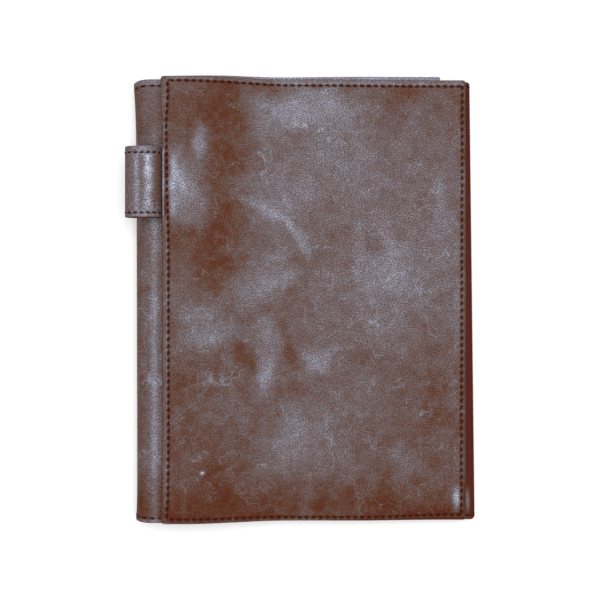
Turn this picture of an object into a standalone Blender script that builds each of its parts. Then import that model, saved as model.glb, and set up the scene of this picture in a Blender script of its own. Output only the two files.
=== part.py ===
"""A leather notebook cover with a rolled spine, a sewn-on front panel and a pen loop.

The cover lies closed on its back, front panel up and spine roll to the left. Leather that bends
around the spine is one long skin on the real object. Here it is cut along the roll into rigid
links, each on a pivot on the roll's outer surface, so that the roll can flatten as the cover opens.
Lengths are in millimetres until mesh points are made, u runs from the front panel's left edge
towards the fore edge, and roll angles start at the bottom of the roll and go up its outer side.
"""

import math

import bmesh
import bpy
from mathutils import Vector

MM = 0.001

# Overall sizes
COVER_HEIGHT = 220.0
PANEL_WIDTH = 150.5
SPINE_INSET = 1.0
SPINE_RADIUS = 8.0
CREST_TO_PANEL = 5.1

# Leather, lining and the clearance between pieces that touch
LEATHER = 1.5
LINING = 0.7
GAP = 0.3

# Fore edge of the back cover, where the leather turns in to make the sleeve
FORE_EDGE_REACH = 4.3
FORE_EDGE_SLANT = 1.3
SLEEVE_DEPTH = 110.0

# Front cover
TAB_REACH = 10.5
LINING_INSET = 1.0
DRAPE_LENGTH = 50.0
DRAPE_SHARE = 0.8
EDGE_DRAPE_LENGTH = 45.0
EDGE_DRAPE_MARGIN = 13.0
TAB_RAMP = 24.0

# Loose leaf inside the front cover
LEAF_THICKNESS = 0.9
LEAF_START = 3.5
LEAF_SETBACK = 12.5
LEAF_SHORTFALL = 1.0
LEAF_RISE = 2.3
LEAF_SKEW = math.radians(0.5)

# Pen loop
LOOP_WIDTH = 34.4
LOOP_FROM_TOP = 52.6
LOOP_REACH = 17.7
LOOP_HEIGHT = 8.6
LOOP_LEATHER = 1.1
LOOP_LINING = 0.5
LOOP_TAIL = 10.0
LOOP_END_ANGLE = math.radians(-40)
LOOP_LINING_END_ANGLE = math.radians(-45)
BUMP_RAMP = 5.0
BUMP_MARGIN = 0.6

# Stitching, drawn as a flat line of thread along each row
STITCH_INSET = 2.6
THREAD_WIDTH = 0.8
THREAD_THICKNESS = 0.35

# Spine links
LINK_NAMES = ("lower", "middle", "upper")
LINK_TURN = math.radians(45)
ARC_STEPS = 8
DRAPE_STEP = 4.0

# Worked out from the sizes above
SPINE_HEIGHT = COVER_HEIGHT - 2 * SPINE_INSET
CREST_U = -CREST_TO_PANEL
ROLL_TOP = 2 * SPINE_RADIUS
LINING_RADIUS = SPINE_RADIUS - LEATHER - GAP
FIRST_PIVOT = (math.pi - len(LINK_NAMES) * LINK_TURN) / 2
LINK_CLEARANCE = GAP / 2 / (LINING_RADIUS - LINING)
SLEEVE_HEIGHT = 2 * LEATHER + LINING + 2 * GAP
FOLD_RADIUS = SLEEVE_HEIGHT / 2
LEFT_TOP = ROLL_TOP + GAP + LEATHER
RIGHT_TOP = SLEEVE_HEIGHT + GAP + THREAD_THICKNESS + GAP + LEAF_THICKNESS + GAP + LINING + GAP + LEATHER
FULL_DROP = LEFT_TOP - RIGHT_TOP
DRAPE_START = TAB_REACH + 1.0
EDGE_DRAPE_START = PANEL_WIDTH - EDGE_DRAPE_MARGIN - EDGE_DRAPE_LENGTH
LOOP_RADIUS = LOOP_HEIGHT / 2
LOOP_BASE = ROLL_TOP + GAP
LOOP_CENTRE_Z = LOOP_BASE + LOOP_RADIUS
LOOP_RIGHT_U = -GAP - LOOP_RADIUS
LOOP_LEFT_U = -LOOP_REACH + LOOP_RADIUS
LOOP_Y = COVER_HEIGHT / 2 - LOOP_FROM_TOP
LOOP_LOW_Y = LOOP_Y - LOOP_WIDTH / 2
LOOP_HIGH_Y = LOOP_Y + LOOP_WIDTH / 2
TAIL_ROOM = LOOP_LEATHER + GAP
LEAF_END = PANEL_WIDTH - LEAF_SETBACK
LEAF_TOP_Y = COVER_HEIGHT / 2 + LEAF_RISE
LEAF_HEIGHT = COVER_HEIGHT - LEAF_SHORTFALL
RIGHT_U = PANEL_WIDTH + FORE_EDGE_REACH + FORE_EDGE_SLANT
CENTRE_U = (RIGHT_U - LOOP_REACH) / 2
CENTRE_Y = LEAF_RISE / 2


def smooth(t):
    t = min(max(t, 0.0), 1.0)
    return t * t * (3 - 2 * t)


def blend_steps(start, length, count):
    return [start + length * i / count for i in range(count + 1)]


# The front cover's drape

def tail_bump(u, y):
    """How far the panel is lifted where the pen loop's tail is sewn in under it."""
    past_tail = (u - LOOP_TAIL - BUMP_MARGIN) / BUMP_RAMP
    past_side = (abs(y - LOOP_Y) - LOOP_WIDTH / 2 - BUMP_MARGIN) / BUMP_RAMP
    return TAIL_ROOM * (1 - smooth(past_tail)) * (1 - smooth(past_side))


def panel_top(u, y=None):
    """Height of the front panel's outer face: high over the roll, low at the fore edge."""
    main_drop = DRAPE_SHARE * smooth((u - DRAPE_START) / DRAPE_LENGTH)
    edge_drop = (1 - DRAPE_SHARE) * smooth((u - EDGE_DRAPE_START) / EDGE_DRAPE_LENGTH)
    height = LEFT_TOP - FULL_DROP * (main_drop + edge_drop)
    if y is None:
        return height
    return height + tail_bump(u, y)


def front_lining_top(u):
    """The lining hangs under the spine leather's tab, then comes up against the panel."""
    tab_room = (LEATHER + GAP) * (1 - smooth((u - TAB_REACH) / TAB_RAMP))
    return panel_top(u) - LEATHER - GAP - tab_room


def leaf_top(u):
    return front_lining_top(u) - LINING - GAP


def drape_lines(start, end):
    """Values of u that are close together where the front cover drapes."""
    lines = {start, end}
    lines.update(blend_steps(DRAPE_START, DRAPE_LENGTH, round(DRAPE_LENGTH / DRAPE_STEP)))
    lines.update(blend_steps(EDGE_DRAPE_START, EDGE_DRAPE_LENGTH, round(EDGE_DRAPE_LENGTH / DRAPE_STEP / 2)))
    lines.update(blend_steps(LOOP_TAIL + BUMP_MARGIN, BUMP_RAMP, 3))
    lines.add(TAB_REACH)
    return sorted(line for line in lines if start <= line <= end)


# Outlines in the XZ plane, as pairs of outer and inner points

def roll_point(radius, angle):
    return (CREST_U - radius * math.sin(angle), SPINE_RADIUS - radius * math.cos(angle))


def roll_arc(outer, inner, start, end, steps=ARC_STEPS):
    angles = blend_steps(start, end - start, steps)
    return [(roll_point(outer, angle), roll_point(inner, angle)) for angle in angles]


def turn(centre_u, centre_z, outer, inner, start, end, steps=ARC_STEPS):
    """An arc by ordinary angles, counted from +u towards +Z."""
    pairs = []
    for angle in blend_steps(start, end - start, steps):
        across, up = math.cos(angle), math.sin(angle)
        pairs.append((
            (centre_u + outer * across, centre_z + outer * up),
            (centre_u + inner * across, centre_z + inner * up),
        ))
    return pairs


def fold_u(y):
    """Centre of the fore edge's fold, which leans outwards towards the bottom."""
    return PANEL_WIDTH + FORE_EDGE_REACH - FORE_EDGE_SLANT * y / (COVER_HEIGHT / 2) - FOLD_RADIUS


# Building pieces

def clear_scene():
    for old in list(bpy.data.objects):
        bpy.data.objects.remove(old)


def make_material(name, colour, roughness):
    material = bpy.data.materials.new(name)
    material.use_nodes = True
    shader = material.node_tree.nodes["Principled BSDF"]
    shader.inputs["Base Color"].default_value = (*colour, 1.0)
    shader.inputs["Roughness"].default_value = roughness
    shader.inputs["Metallic"].default_value = 0.0
    material.diffuse_color = (*colour, 1.0)
    return material


def world(u, y, z):
    return Vector((u - CENTRE_U, y - CENTRE_Y, z)) * MM


def make_pivot(name, point, parent=None):
    """An empty on a joint's axis, which runs along Y through it."""
    pivot = bpy.data.objects.new(name, None)
    bpy.context.collection.objects.link(pivot)
    pivot.empty_display_size = 0.01
    pivot["at"] = tuple(point)
    pivot.location = point
    if parent:
        pivot.parent = parent
        pivot.location = point - Vector(parent["at"])
    return pivot


def make_solid(name, upper, lower, pivot, material, smooth_shading=True):
    """A closed slab between two grids of points of the same size."""
    rows, columns = len(upper), len(upper[0])
    origin = Vector(pivot["at"])
    shape = bmesh.new()
    top = [[shape.verts.new(world(*point) - origin) for point in row] for row in upper]
    bottom = [[shape.verts.new(world(*point) - origin) for point in row] for row in lower]
    for i in range(rows - 1):
        for j in range(columns - 1):
            shape.faces.new((top[i][j], top[i + 1][j], top[i + 1][j + 1], top[i][j + 1]))
            shape.faces.new((bottom[i][j], bottom[i][j + 1], bottom[i + 1][j + 1], bottom[i + 1][j]))
    rim = [(0, j) for j in range(columns)]
    rim += [(i, columns - 1) for i in range(1, rows)]
    rim += [(rows - 1, j) for j in range(columns - 2, -1, -1)]
    rim += [(i, 0) for i in range(rows - 2, 0, -1)]
    for (i, j), (next_i, next_j) in zip(rim, rim[1:] + rim[:1]):
        shape.faces.new((top[i][j], top[next_i][next_j], bottom[next_i][next_j], bottom[i][j]))
    return finish_solid(name, shape, pivot, material, smooth_shading)


def finish_solid(name, shape, pivot, material, smooth_shading):
    bmesh.ops.recalc_face_normals(shape, faces=shape.faces)
    mesh = bpy.data.meshes.new(name)
    shape.to_mesh(mesh)
    shape.free()
    if smooth_shading:
        mesh.shade_smooth()
        mesh.set_sharp_from_angle(angle=math.radians(40))
    mesh.materials.append(material)
    piece = bpy.data.objects.new(name, mesh)
    bpy.context.collection.objects.link(piece)
    piece.parent = pivot
    return piece


def make_strip(name, outline, low_y, high_y, pivot, material):
    """A strip with a constant outline in XZ between two values of Y."""
    upper = [[(u, y, z) for y in (low_y, high_y)] for (u, z), _ in outline]
    lower = [[(u, y, z) for y in (low_y, high_y)] for _, (u, z) in outline]
    return make_solid(name, upper, lower, pivot, material)


def make_thread(name, outline, y, pivot, material):
    return make_strip(name, outline, y - THREAD_WIDTH / 2, y + THREAD_WIDTH / 2, pivot, material)


# Back cover

def back_outline(y):
    """Up the roll's first stretch, along the bottom, around the fore edge and back as the sleeve."""
    fold = fold_u(y)
    sleeve_end = PANEL_WIDTH - SLEEVE_DEPTH
    pairs = roll_arc(SPINE_RADIUS, SPINE_RADIUS - LEATHER, FIRST_PIVOT - LINK_CLEARANCE, 0.0)
    pairs += turn(
        fold, FOLD_RADIUS, FOLD_RADIUS, FOLD_RADIUS - LEATHER, -math.pi / 2, math.pi / 2, 2 * ARC_STEPS
    )
    pairs.append(((sleeve_end, SLEEVE_HEIGHT), (sleeve_end, SLEEVE_HEIGHT - LEATHER)))
    return pairs


def build_back_cover(pivot, leather, lining, thread):
    edges = (-COVER_HEIGHT / 2, COVER_HEIGHT / 2)
    columns = [back_outline(y) for y in edges]
    upper = []
    lower = []
    for pairs in zip(*columns):
        upper.append([(pair[0][0], y, pair[0][1]) for pair, y in zip(pairs, edges)])
        lower.append([(pair[1][0], y, pair[1][1]) for pair, y in zip(pairs, edges)])
    make_solid("back_leather", upper, lower, pivot, leather)

    lining_top = LEATHER + GAP + LINING
    outline = roll_arc(LINING_RADIUS, LINING_RADIUS - LINING, FIRST_PIVOT - LINK_CLEARANCE, 0.0)
    lining_end = PANEL_WIDTH - LINING_INSET
    outline.append(((lining_end, lining_top - LINING), (lining_end, lining_top)))
    half = SPINE_HEIGHT / 2 - LINING_INSET
    make_strip("back_lining", outline, -half, half, pivot, lining)

    row_y = COVER_HEIGHT / 2 - STITCH_INSET
    for name, y in (("back_thread_top", row_y), ("back_thread_bottom", -row_y)):
        start = PANEL_WIDTH - SLEEVE_DEPTH + STITCH_INSET
        low = SLEEVE_HEIGHT + GAP
        outline = [((start, low + THREAD_THICKNESS), (start, low))]
        outline += turn(
            fold_u(y),
            FOLD_RADIUS,
            FOLD_RADIUS + GAP + THREAD_THICKNESS,
            FOLD_RADIUS + GAP,
            math.pi / 2,
            math.pi / 4,
        )
        make_thread(name, outline, y, pivot, thread)


# Spine

def thread_clearance():
    """Angle by which a row of thread stops short of a pivot, so that two rows clear when it bends."""
    stand_out = GAP + THREAD_THICKNESS
    return (stand_out * math.tan(LINK_TURN / 2) + GAP) / SPINE_RADIUS


def build_spine_link(name, start, pivot, leather, lining, thread):
    end = start + LINK_TURN
    first, last = start + LINK_CLEARANCE, end - LINK_CLEARANCE
    half = SPINE_HEIGHT / 2
    outline = roll_arc(SPINE_RADIUS, SPINE_RADIUS - LEATHER, first, last)
    make_strip(f"spine_leather_{name}", outline, -half, half, pivot, leather)
    outline = roll_arc(LINING_RADIUS, LINING_RADIUS - LINING, first, last)
    make_strip(f"spine_lining_{name}", outline, LINING_INSET - half, half - LINING_INSET, pivot, lining)
    spare = thread_clearance()
    low = SPINE_RADIUS + GAP
    outline = roll_arc(low + THREAD_THICKNESS, low, start + spare, end - spare)
    row_y = half - STITCH_INSET
    make_thread(f"spine_thread_{name}_top", outline, row_y, pivot, thread)
    make_thread(f"spine_thread_{name}_bottom", outline, -row_y, pivot, thread)


# Front cover

def bump_lines():
    """Values of y across the front panel, close together beside the pen loop's tail."""
    lines = {-COVER_HEIGHT / 2, COVER_HEIGHT / 2}
    lines.update(blend_steps(LOOP_LOW_Y - BUMP_MARGIN - BUMP_RAMP, BUMP_RAMP, 3))
    lines.update(blend_steps(LOOP_HIGH_Y + BUMP_MARGIN, BUMP_RAMP, 3))
    return sorted(lines)


def thread_ring(inset):
    """Points around the front panel at this distance from its edges, at the panel's own lines."""
    side = COVER_HEIGHT / 2 - inset
    room = STITCH_INSET + THREAD_WIDTH
    across = [u for u in drape_lines(0.0, PANEL_WIDTH) if room < u < PANEL_WIDTH - room]
    along = [y for y in bump_lines() if abs(y) < COVER_HEIGHT / 2 - room]
    left, right = inset, PANEL_WIDTH - inset
    points = [(left, -side)] + [(u, -side) for u in across]
    points += [(right, -side)] + [(right, y) for y in along]
    points += [(right, side)] + [(u, side) for u in reversed(across)]
    points += [(left, side)] + [(left, y) for y in reversed(along)]
    return points


def build_front_thread(pivot, thread):
    """One closed row of thread around the panel."""
    outer = thread_ring(STITCH_INSET - THREAD_WIDTH / 2)
    inner = thread_ring(STITCH_INSET + THREAD_WIDTH / 2)
    origin = Vector(pivot["at"])
    shape = bmesh.new()
    rings = []
    for (outer_u, outer_y), (inner_u, inner_y) in zip(outer, inner):
        corners = []
        for u, y, rise in (
            (outer_u, outer_y, 0.0),
            (outer_u, outer_y, THREAD_THICKNESS),
            (inner_u, inner_y, THREAD_THICKNESS),
            (inner_u, inner_y, 0.0),
        ):
            corners.append(shape.verts.new(world(u, y, panel_top(u, y) + GAP + rise) - origin))
        rings.append(corners)
    for ring, after in zip(rings, rings[1:] + rings[:1]):
        for k in range(4):
            following = (k + 1) % 4
            shape.faces.new((ring[k], ring[following], after[following], after[k]))
    finish_solid("front_thread", shape, pivot, thread, False)


def build_front_cover(pivot, leather, lining, thread):
    across = drape_lines(0.0, PANEL_WIDTH)
    along = bump_lines()
    upper = [[(u, y, panel_top(u, y)) for y in along] for u in across]
    lower = [[(u, y, panel_top(u, y) - LEATHER) for y in along] for u in across]
    make_solid("front_panel", upper, lower, pivot, leather)

    last_pivot = math.pi - FIRST_PIVOT
    half = SPINE_HEIGHT / 2
    outline = roll_arc(SPINE_RADIUS, SPINE_RADIUS - LEATHER, last_pivot + LINK_CLEARANCE, math.pi)
    outline.append(((TAB_REACH, ROLL_TOP), (TAB_REACH, ROLL_TOP - LEATHER)))
    make_strip("spine_tab", outline, -half, half, pivot, leather)

    outline = roll_arc(LINING_RADIUS, LINING_RADIUS - LINING, last_pivot + LINK_CLEARANCE, math.pi)
    for u in drape_lines(0.0, PANEL_WIDTH - LINING_INSET):
        outline.append(((u, front_lining_top(u)), (u, front_lining_top(u) - LINING)))
    make_strip("front_lining", outline, LINING_INSET - half, half - LINING_INSET, pivot, lining)

    build_front_thread(pivot, thread)
    low = SPINE_RADIUS + GAP
    outline = roll_arc(low + THREAD_THICKNESS, low, last_pivot + thread_clearance(), math.pi)
    end = (-GAP, ROLL_TOP + GAP)
    outline.append(((end[0], end[1] + THREAD_THICKNESS), end))
    row_y = half - STITCH_INSET
    make_thread("tab_thread_top", outline, row_y, pivot, thread)
    make_thread("tab_thread_bottom", outline, -row_y, pivot, thread)


# Pen loop

def loop_outline(outer, inner, start_u, start_z, start_thickness, end_angle):
    """A strap from its lower end, left under the pen, around it and down to its upper end."""
    pairs = [((start_u, start_z), (start_u, start_z + start_thickness))]
    pairs += turn(LOOP_LEFT_U, LOOP_CENTRE_Z, outer, inner, -math.pi / 2, -3 * math.pi / 2, 2 * ARC_STEPS)
    pairs += turn(LOOP_RIGHT_U, LOOP_CENTRE_Z, outer, inner, math.pi / 2, end_angle, 2 * ARC_STEPS)
    return pairs


def build_pen_loop(pivot, leather, lining, thread):
    inner = LOOP_RADIUS - LOOP_LEATHER
    outline = loop_outline(LOOP_RADIUS, inner, LOOP_TAIL, LOOP_BASE, LOOP_LEATHER, LOOP_END_ANGLE)
    make_strip("pen_loop_band", outline, LOOP_LOW_Y, LOOP_HIGH_Y, pivot, leather)

    outer = inner - GAP
    base = LOOP_CENTRE_Z - outer
    outline = loop_outline(
        outer, outer - LOOP_LINING, LOOP_RIGHT_U + 1.0, base, LOOP_LINING, LOOP_LINING_END_ANGLE
    )
    make_strip("pen_loop_lining", outline, LOOP_LOW_Y, LOOP_HIGH_Y, pivot, lining)

    low = LOOP_RADIUS + GAP
    high = low + THREAD_THICKNESS
    outline = turn(LOOP_RIGHT_U, LOOP_CENTRE_Z, high, low, math.radians(20), math.pi / 2)
    outline += turn(LOOP_LEFT_U, LOOP_CENTRE_Z, high, low, math.pi / 2, 3 * math.pi / 4)
    make_thread("pen_loop_thread_top", outline, LOOP_HIGH_Y - STITCH_INSET, pivot, thread)
    make_thread("pen_loop_thread_bottom", outline, LOOP_LOW_Y + STITCH_INSET, pivot, thread)


# Loose leaf

def leaf_point(u, y):
    """A point of the leaf, which sits slightly turned about its top right corner."""
    across, up = u - LEAF_END, y - LEAF_TOP_Y
    return (
        LEAF_END + across * math.cos(LEAF_SKEW) - up * math.sin(LEAF_SKEW),
        LEAF_TOP_Y + across * math.sin(LEAF_SKEW) + up * math.cos(LEAF_SKEW),
    )


def build_leaf(pivot, leather):
    steps = round((LEAF_END - LEAF_START) / DRAPE_STEP)
    across = blend_steps(LEAF_START, LEAF_END - LEAF_START, steps)
    along = blend_steps(LEAF_TOP_Y - LEAF_HEIGHT, LEAF_HEIGHT, 2)
    flat = [[leaf_point(u, y) for y in along] for u in across]
    upper = [[(u, y, leaf_top(u)) for u, y in row] for row in flat]
    lower = [[(u, y, leaf_top(u) - LEAF_THICKNESS) for u, y in row] for row in flat]
    make_solid("insert_leaf", upper, lower, pivot, leather)


def main():
    clear_scene()
    cover_leather = make_material("cover_leather", (0.115, 0.055, 0.032), 0.5)
    lining_leather = make_material("lining_leather", (0.16, 0.085, 0.05), 0.7)
    leaf_leather = make_material("leaf_leather", (0.14, 0.10, 0.08), 0.65)
    waxed_thread = make_material("waxed_thread", (0.035, 0.008, 0.006), 0.45)

    base = make_pivot("back_cover", Vector((0, 0, 0)))
    build_back_cover(base, cover_leather, lining_leather, waxed_thread)
    pivot = base
    for i, name in enumerate(LINK_NAMES):
        start = FIRST_PIVOT + i * LINK_TURN
        u, z = roll_point(SPINE_RADIUS, start)
        pivot = make_pivot(f"spine_{name}", world(u, CENTRE_Y, z), pivot)
        build_spine_link(name, start, pivot, cover_leather, lining_leather, waxed_thread)
    u, z = roll_point(SPINE_RADIUS, math.pi - FIRST_PIVOT)
    front = make_pivot("front_cover", world(u, CENTRE_Y, z), pivot)
    build_front_cover(front, cover_leather, lining_leather, waxed_thread)
    build_pen_loop(front, cover_leather, lining_leather, waxed_thread)
    leaf_u = leaf_point(LEAF_START, LEAF_TOP_Y)[0] - GAP / 2
    leaf_pivot = make_pivot("leaf", world(leaf_u, CENTRE_Y, leaf_top(leaf_u) + GAP / 2), front)
    build_leaf(leaf_pivot, leaf_leather)


main()
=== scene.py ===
import math

import bmesh
import bpy
import numpy as np
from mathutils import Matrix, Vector


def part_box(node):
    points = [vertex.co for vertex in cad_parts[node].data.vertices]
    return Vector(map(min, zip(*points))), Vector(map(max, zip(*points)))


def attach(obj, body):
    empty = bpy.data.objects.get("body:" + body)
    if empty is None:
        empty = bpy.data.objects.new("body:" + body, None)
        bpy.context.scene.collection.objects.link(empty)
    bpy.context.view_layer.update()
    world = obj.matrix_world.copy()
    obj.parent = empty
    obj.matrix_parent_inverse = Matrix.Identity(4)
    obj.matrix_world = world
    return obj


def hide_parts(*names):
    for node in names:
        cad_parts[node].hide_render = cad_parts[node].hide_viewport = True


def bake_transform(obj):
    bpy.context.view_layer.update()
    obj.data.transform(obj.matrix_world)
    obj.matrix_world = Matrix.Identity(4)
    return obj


# Looks of the leather notebook cover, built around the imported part. Lengths are millimetres in the
# cover's own frame: u runs right from the front panel's left edge, y up from its middle, z up from
# the table. Shape.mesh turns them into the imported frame's metres.

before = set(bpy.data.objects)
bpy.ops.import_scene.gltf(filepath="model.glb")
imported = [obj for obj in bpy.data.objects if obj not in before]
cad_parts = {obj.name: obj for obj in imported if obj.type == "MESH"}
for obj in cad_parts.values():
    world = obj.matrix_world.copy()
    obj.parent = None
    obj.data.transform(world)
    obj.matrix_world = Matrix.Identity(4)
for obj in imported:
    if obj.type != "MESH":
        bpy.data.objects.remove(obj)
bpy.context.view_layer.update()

MM = 0.001


def node_box(node):
    low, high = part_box(node)
    return np.array(low) / MM, np.array(high) / MM


PANEL_LOW, PANEL_HIGH = node_box("front_panel")
ORIGIN = np.array([PANEL_LOW[0], (PANEL_LOW[1] + PANEL_HIGH[1]) / 2, 0.0])


def cover_box(node):
    """Lowest and highest corner of a CAD node in the cover's frame, in millimetres."""
    low, high = node_box(node)
    return low - ORIGIN, high - ORIGIN


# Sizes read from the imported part
PANEL_WIDTH = PANEL_HIGH[0] - PANEL_LOW[0]
HALF_HEIGHT = (PANEL_HIGH[1] - PANEL_LOW[1]) / 2
TAB_HIGH = cover_box("spine_tab")[1]
ROLL_TOP = TAB_HIGH[2]
RADIUS = ROLL_TOP / 2
CREST_U = cover_box("spine_leather_middle")[0][0] + RADIUS
TAB_REACH = TAB_HIGH[0]
SPINE_HALF = TAB_HIGH[1]
BACK_HIGH = cover_box("back_leather")[1]
SLEEVE_HEIGHT = BACK_HIGH[2]
FOLD_RADIUS = SLEEVE_HEIGHT / 2
LINING_END, LINING_HALF, _ = cover_box("back_lining")[1]
LEAF_LOW, LEAF_HIGH = cover_box("insert_leaf")
LOOP_LOW, LOOP_HIGH = cover_box("pen_loop_band")
SLEEVE_HEM = 2.6
SLEEVE_SEAM = cover_box("back_thread_top")[0][0]
SLEEVE_END = SLEEVE_SEAM - SLEEVE_HEM

# Leather thicknesses and clearances, as in the part
LEATHER = 1.5
LINING = 0.7
GAP = 0.3
LINING_INSET = LEATHER + GAP
LOOP_LEATHER = 1.1
LOOP_LINING = 0.5

# The front panel's drape over the roll, as in the part
LEFT_TOP = ROLL_TOP + GAP + LEATHER
RIGHT_TOP = PANEL_LOW[2] + LEATHER
TAIL_ROOM = PANEL_HIGH[2] - LEFT_TOP
DRAPE_START = TAB_REACH + 1.0
DRAPE_LENGTH = 50.0
DRAPE_SHARE = 0.8
EDGE_DRAPE_LENGTH = 45.0
EDGE_DRAPE_START = PANEL_WIDTH - 13.0 - EDGE_DRAPE_LENGTH
TAB_RAMP = 24.0
BUMP_RAMP_U = 16.0
BUMP_RAMP_Y = 11.0
BUMP_MARGIN = 0.2
LOOP_TAIL = LOOP_HIGH[0]
LOOP_Y = (LOOP_LOW[1] + LOOP_HIGH[1]) / 2
LOOP_HALF = (LOOP_HIGH[1] - LOOP_LOW[1]) / 2

# The fore edge fold, which leans outwards towards the bottom
FOLD_SLANT = 1.3
FOLD_MIDDLE = BACK_HIGH[0] - FOLD_SLANT - FOLD_RADIUS
BACK_TOP_Y = HALF_HEIGHT + 0.2
BACK_BOTTOM_Y = -HALF_HEIGHT - 0.9

# Finished edges and the stitched rows
EDGE_RADIUS = 0.55
CORNER = 1.6
STITCH_PITCH = 3.5
STITCH_LENGTH = 2.75
THREAD = 0.61
GROOVE_DEPTH = 0.34
GROOVE_WIDTH = 0.62
OUTER_SINK = 0.20
INNER_SINK = 0.30

# Camera: straight above, square to the cover
CAMERA_HEIGHT = 450.0
CAMERA_U = 67.5
SENSOR = 36.0
VIEW_WIDTH = 300.0
VIEW_PLANE = 9.0


# Small maths

ENDS = ((1, "top"), (-1, "bottom"))


def smooth(t):
    t = np.clip(t, 0.0, 1.0)
    return t * t * (3 - 2 * t)


def bell(distance, width):
    return np.exp(-(distance / width) ** 2)


def unit(vector):
    return vector / np.linalg.norm(vector)


def beat(stitch):
    """1 at a stitch's middle, where stitch is half past a whole number, and 0 between stitches."""
    return 0.5 - 0.5 * np.cos(2 * math.pi * stitch)


def burnish(distance, start=0.12, width=0.55):
    """1 on an edge, fading out at this distance in from it."""
    return 1 - smooth((distance - start) / width)


def soft_noise(a, b, size, seed):
    """Smooth random values from -1 to 1 with features of about this size."""
    count = 64
    table = np.random.default_rng(seed).uniform(-1, 1, (count, count))
    p, q = np.asarray(a) / size, np.asarray(b) / size
    i, j = np.floor(p).astype(int), np.floor(q).astype(int)
    s, t = smooth(p - i), smooth(q - j)

    def corner(di, dj):
        return table[(i + di) % count, (j + dj) % count]

    low = corner(0, 0) * (1 - s) + corner(1, 0) * s
    high = corner(0, 1) * (1 - s) + corner(1, 1) * s
    return low * (1 - t) + high * t


def mottle(u, y, seed, *layers):
    """Soft noise in layers of (amount, size)."""
    return sum(amount * soft_noise(u, y, size, seed + k) for k, (amount, size) in enumerate(layers))


def edge_drop(distance, radius=EDGE_RADIUS):
    """How far a rounded edge has fallen at this distance in from it."""
    inside = radius - np.clip(distance, 0.0, radius)
    return radius - np.sqrt(np.maximum(radius * radius - inside * inside, 0.0))


def round_steps(radius=EDGE_RADIUS, count=4):
    """Distances from an edge that follow its rounding."""
    return [radius * (1 - math.cos(math.pi / 2 * k / count)) for k in range(count + 1)]


def spread(start, end, step):
    count = max(1, round((end - start) / step))
    return [start + (end - start) * k / count for k in range(count + 1)]


def edged_lines(start, end, step, border=5.0, border_step=0.32, radius=EDGE_RADIUS):
    """Grid lines with a rounded edge and a finely divided border at both ends."""
    near = round_steps(radius)
    near += spread(radius, border, border_step)[1:]
    lines = [start + d for d in near]
    lines += spread(start + border, end - border, step)[1:-1]
    lines += [end - d for d in reversed(near)]
    return np.array(lines)


def follow(knots, t):
    """A smooth value between given knots of (place, value)."""
    t = np.asarray(t, float)
    result = np.full(t.shape, float(knots[0][1]))
    for (low, first), (high, last) in zip(knots, knots[1:]):
        result = result + (last - first) * smooth((t - low) / (high - low))
    return result


# Gathering a piece's points and faces

class Shape:
    """Points, faces and surface values of one piece before it becomes a mesh.

    place is where a point lies on the flat hide, in mm, so that grain runs on across seams.
    tone is 0 for plain brown, above 0 for wax bloom and painted highlights and sheen, and below 0 for
    deep red-brown, mostly painted shade.
    edge is 1 on a burnished edge.
    """

    def __init__(self):
        self.values = []
        self.faces = []
        self.count = 0

    def add(self, points, places, tones, edges):
        """Adds an array of points and returns the array of their numbers."""
        size = points.shape[:-1]
        total = int(np.prod(size))
        tones, edges = (np.broadcast_to(values, size).reshape(-1) for values in (tones, edges))
        self.values.append((points.reshape(-1, 3), places.reshape(-1, 3), tones, edges))
        numbers = np.arange(self.count, self.count + total).reshape(size)
        self.count += total
        return numbers

    def quads(self, numbers):
        corners = (numbers[:-1, :-1], numbers[1:, :-1], numbers[1:, 1:], numbers[:-1, 1:])
        self.faces += np.stack(corners, -1).reshape(-1, 4).tolist()

    def zip_rows(self, first, first_at, second, second_at):
        """Joins two rows of points, which may be divided differently, into a wall."""
        i = j = 0
        while i < len(first) - 1 or j < len(second) - 1:
            here = first_at[i + 1] if i < len(first) - 1 else math.inf
            there = second_at[j + 1] if j < len(second) - 1 else math.inf
            if abs(here - there) < 1e-9:
                self.faces.append([first[i], first[i + 1], second[j + 1], second[j]])
                i += 1
                j += 1
            elif here < there:
                self.faces.append([first[i], first[i + 1], second[j]])
                i += 1
            else:
                self.faces.append([first[i], second[j + 1], second[j]])
                j += 1

    def mesh(self, name):
        made = bpy.data.meshes.new(name)
        points, places, tones, edges = (np.concatenate(values) for values in zip(*self.values))
        made.from_pydata(((points + ORIGIN) * MM).tolist(), [], self.faces)
        shape = bmesh.new()
        shape.from_mesh(made)
        bmesh.ops.recalc_face_normals(shape, faces=shape.faces)
        shape.to_mesh(made)
        shape.free()
        stored = made.attributes.new("place", "FLOAT_VECTOR", "POINT")
        stored.data.foreach_set("vector", places.astype(np.float32).ravel())
        for key, values in (("tone", tones), ("edge", edges)):
            stored = made.attributes.new(key, "FLOAT", "POINT")
            stored.data.foreach_set("value", values.astype(np.float32))
        made.shade_smooth()
        made.set_sharp_from_angle(angle=math.radians(50))
        return made


def add_object(name, data):
    made = bpy.data.objects.new(name, data)
    bpy.context.scene.collection.objects.link(made)
    return made


def add_piece(name, shape, looks, nodes, body=None):
    """Makes a piece with the material of looks, a pair of (material, slot) whose slot is not used; the
    piece stands for these CAD nodes.
    """
    material, slot = looks
    piece = add_object(name, shape.mesh(name))
    piece.data.materials.append(material)
    if nodes:
        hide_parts(*nodes)
    if body:
        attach(piece, body)
    return piece


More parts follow.
